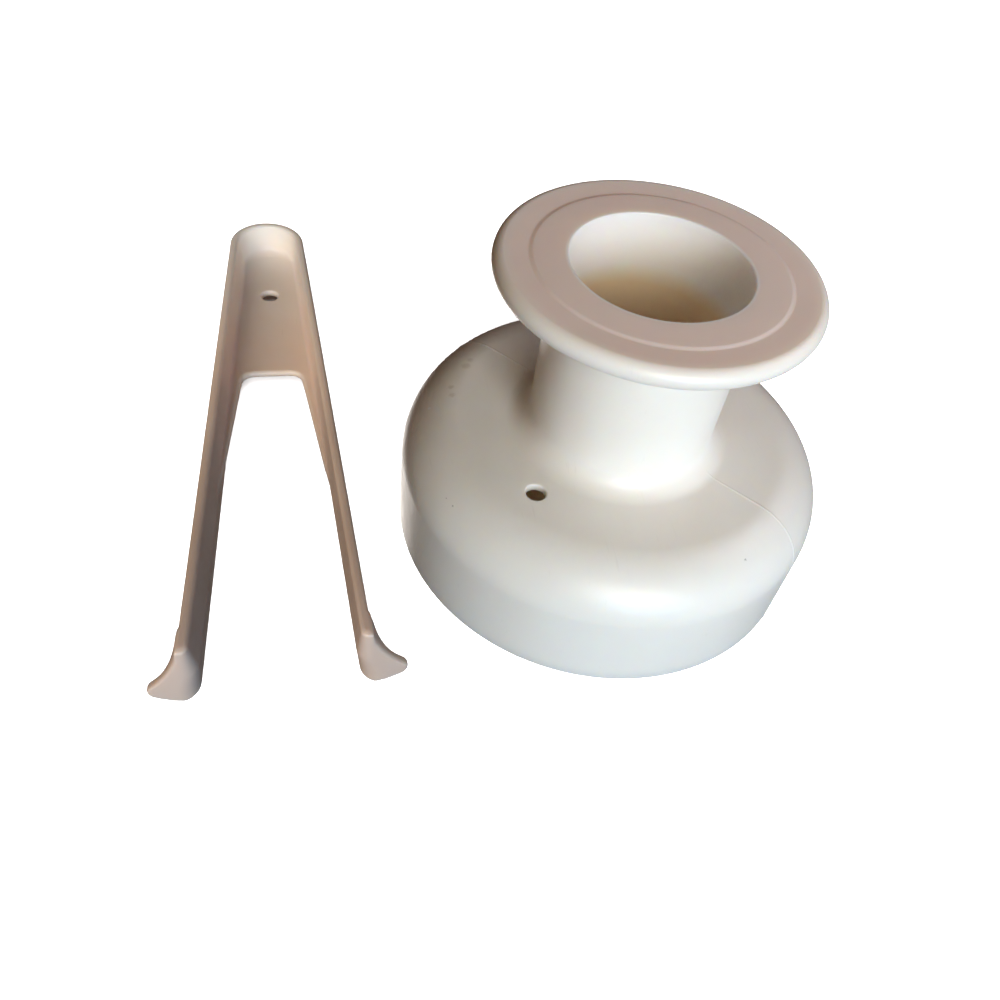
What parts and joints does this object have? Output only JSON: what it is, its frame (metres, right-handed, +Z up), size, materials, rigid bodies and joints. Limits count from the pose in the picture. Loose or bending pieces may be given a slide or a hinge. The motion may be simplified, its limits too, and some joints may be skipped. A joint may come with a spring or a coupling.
{
  "type": "bedpan",
  "caption": "Squat round bedpan pot with a rounded shoulder, flanged neck and small vent, beside the loose spring fork whose splayed feet hook inside its mouth to lift it.",
  "frame": {"origin": "centre of the pot's underside, on the ground", "axes": "+Z up the pot's axis; the loose fork lies on the ground on the -X side, along Y, with its rounded end towards +Y and its feet towards -Y"},
  "size_m": [0.2814, 0.2815, 0.1352],
  "materials": {
    "pot_plastic": "warm white moulded plastic with a satin gloss",
    "floor_plastic": "warm white moulded plastic with a satin gloss",
    "fork_plastic": "warm white moulded plastic with a satin gloss"
  },
  "bodies": {
    "pot": {"pot_shell": "pot_plastic", "floor_disc": "floor_plastic"},
    "fork": {"lifting_fork": "fork_plastic"}
  },
  "joints": [
    {"name": "fork_lift", "type": "slide", "parent": "pot", "child": "fork", "axis": [0, 0, 1], "range_m": [0, 0.2]}
  ]
}
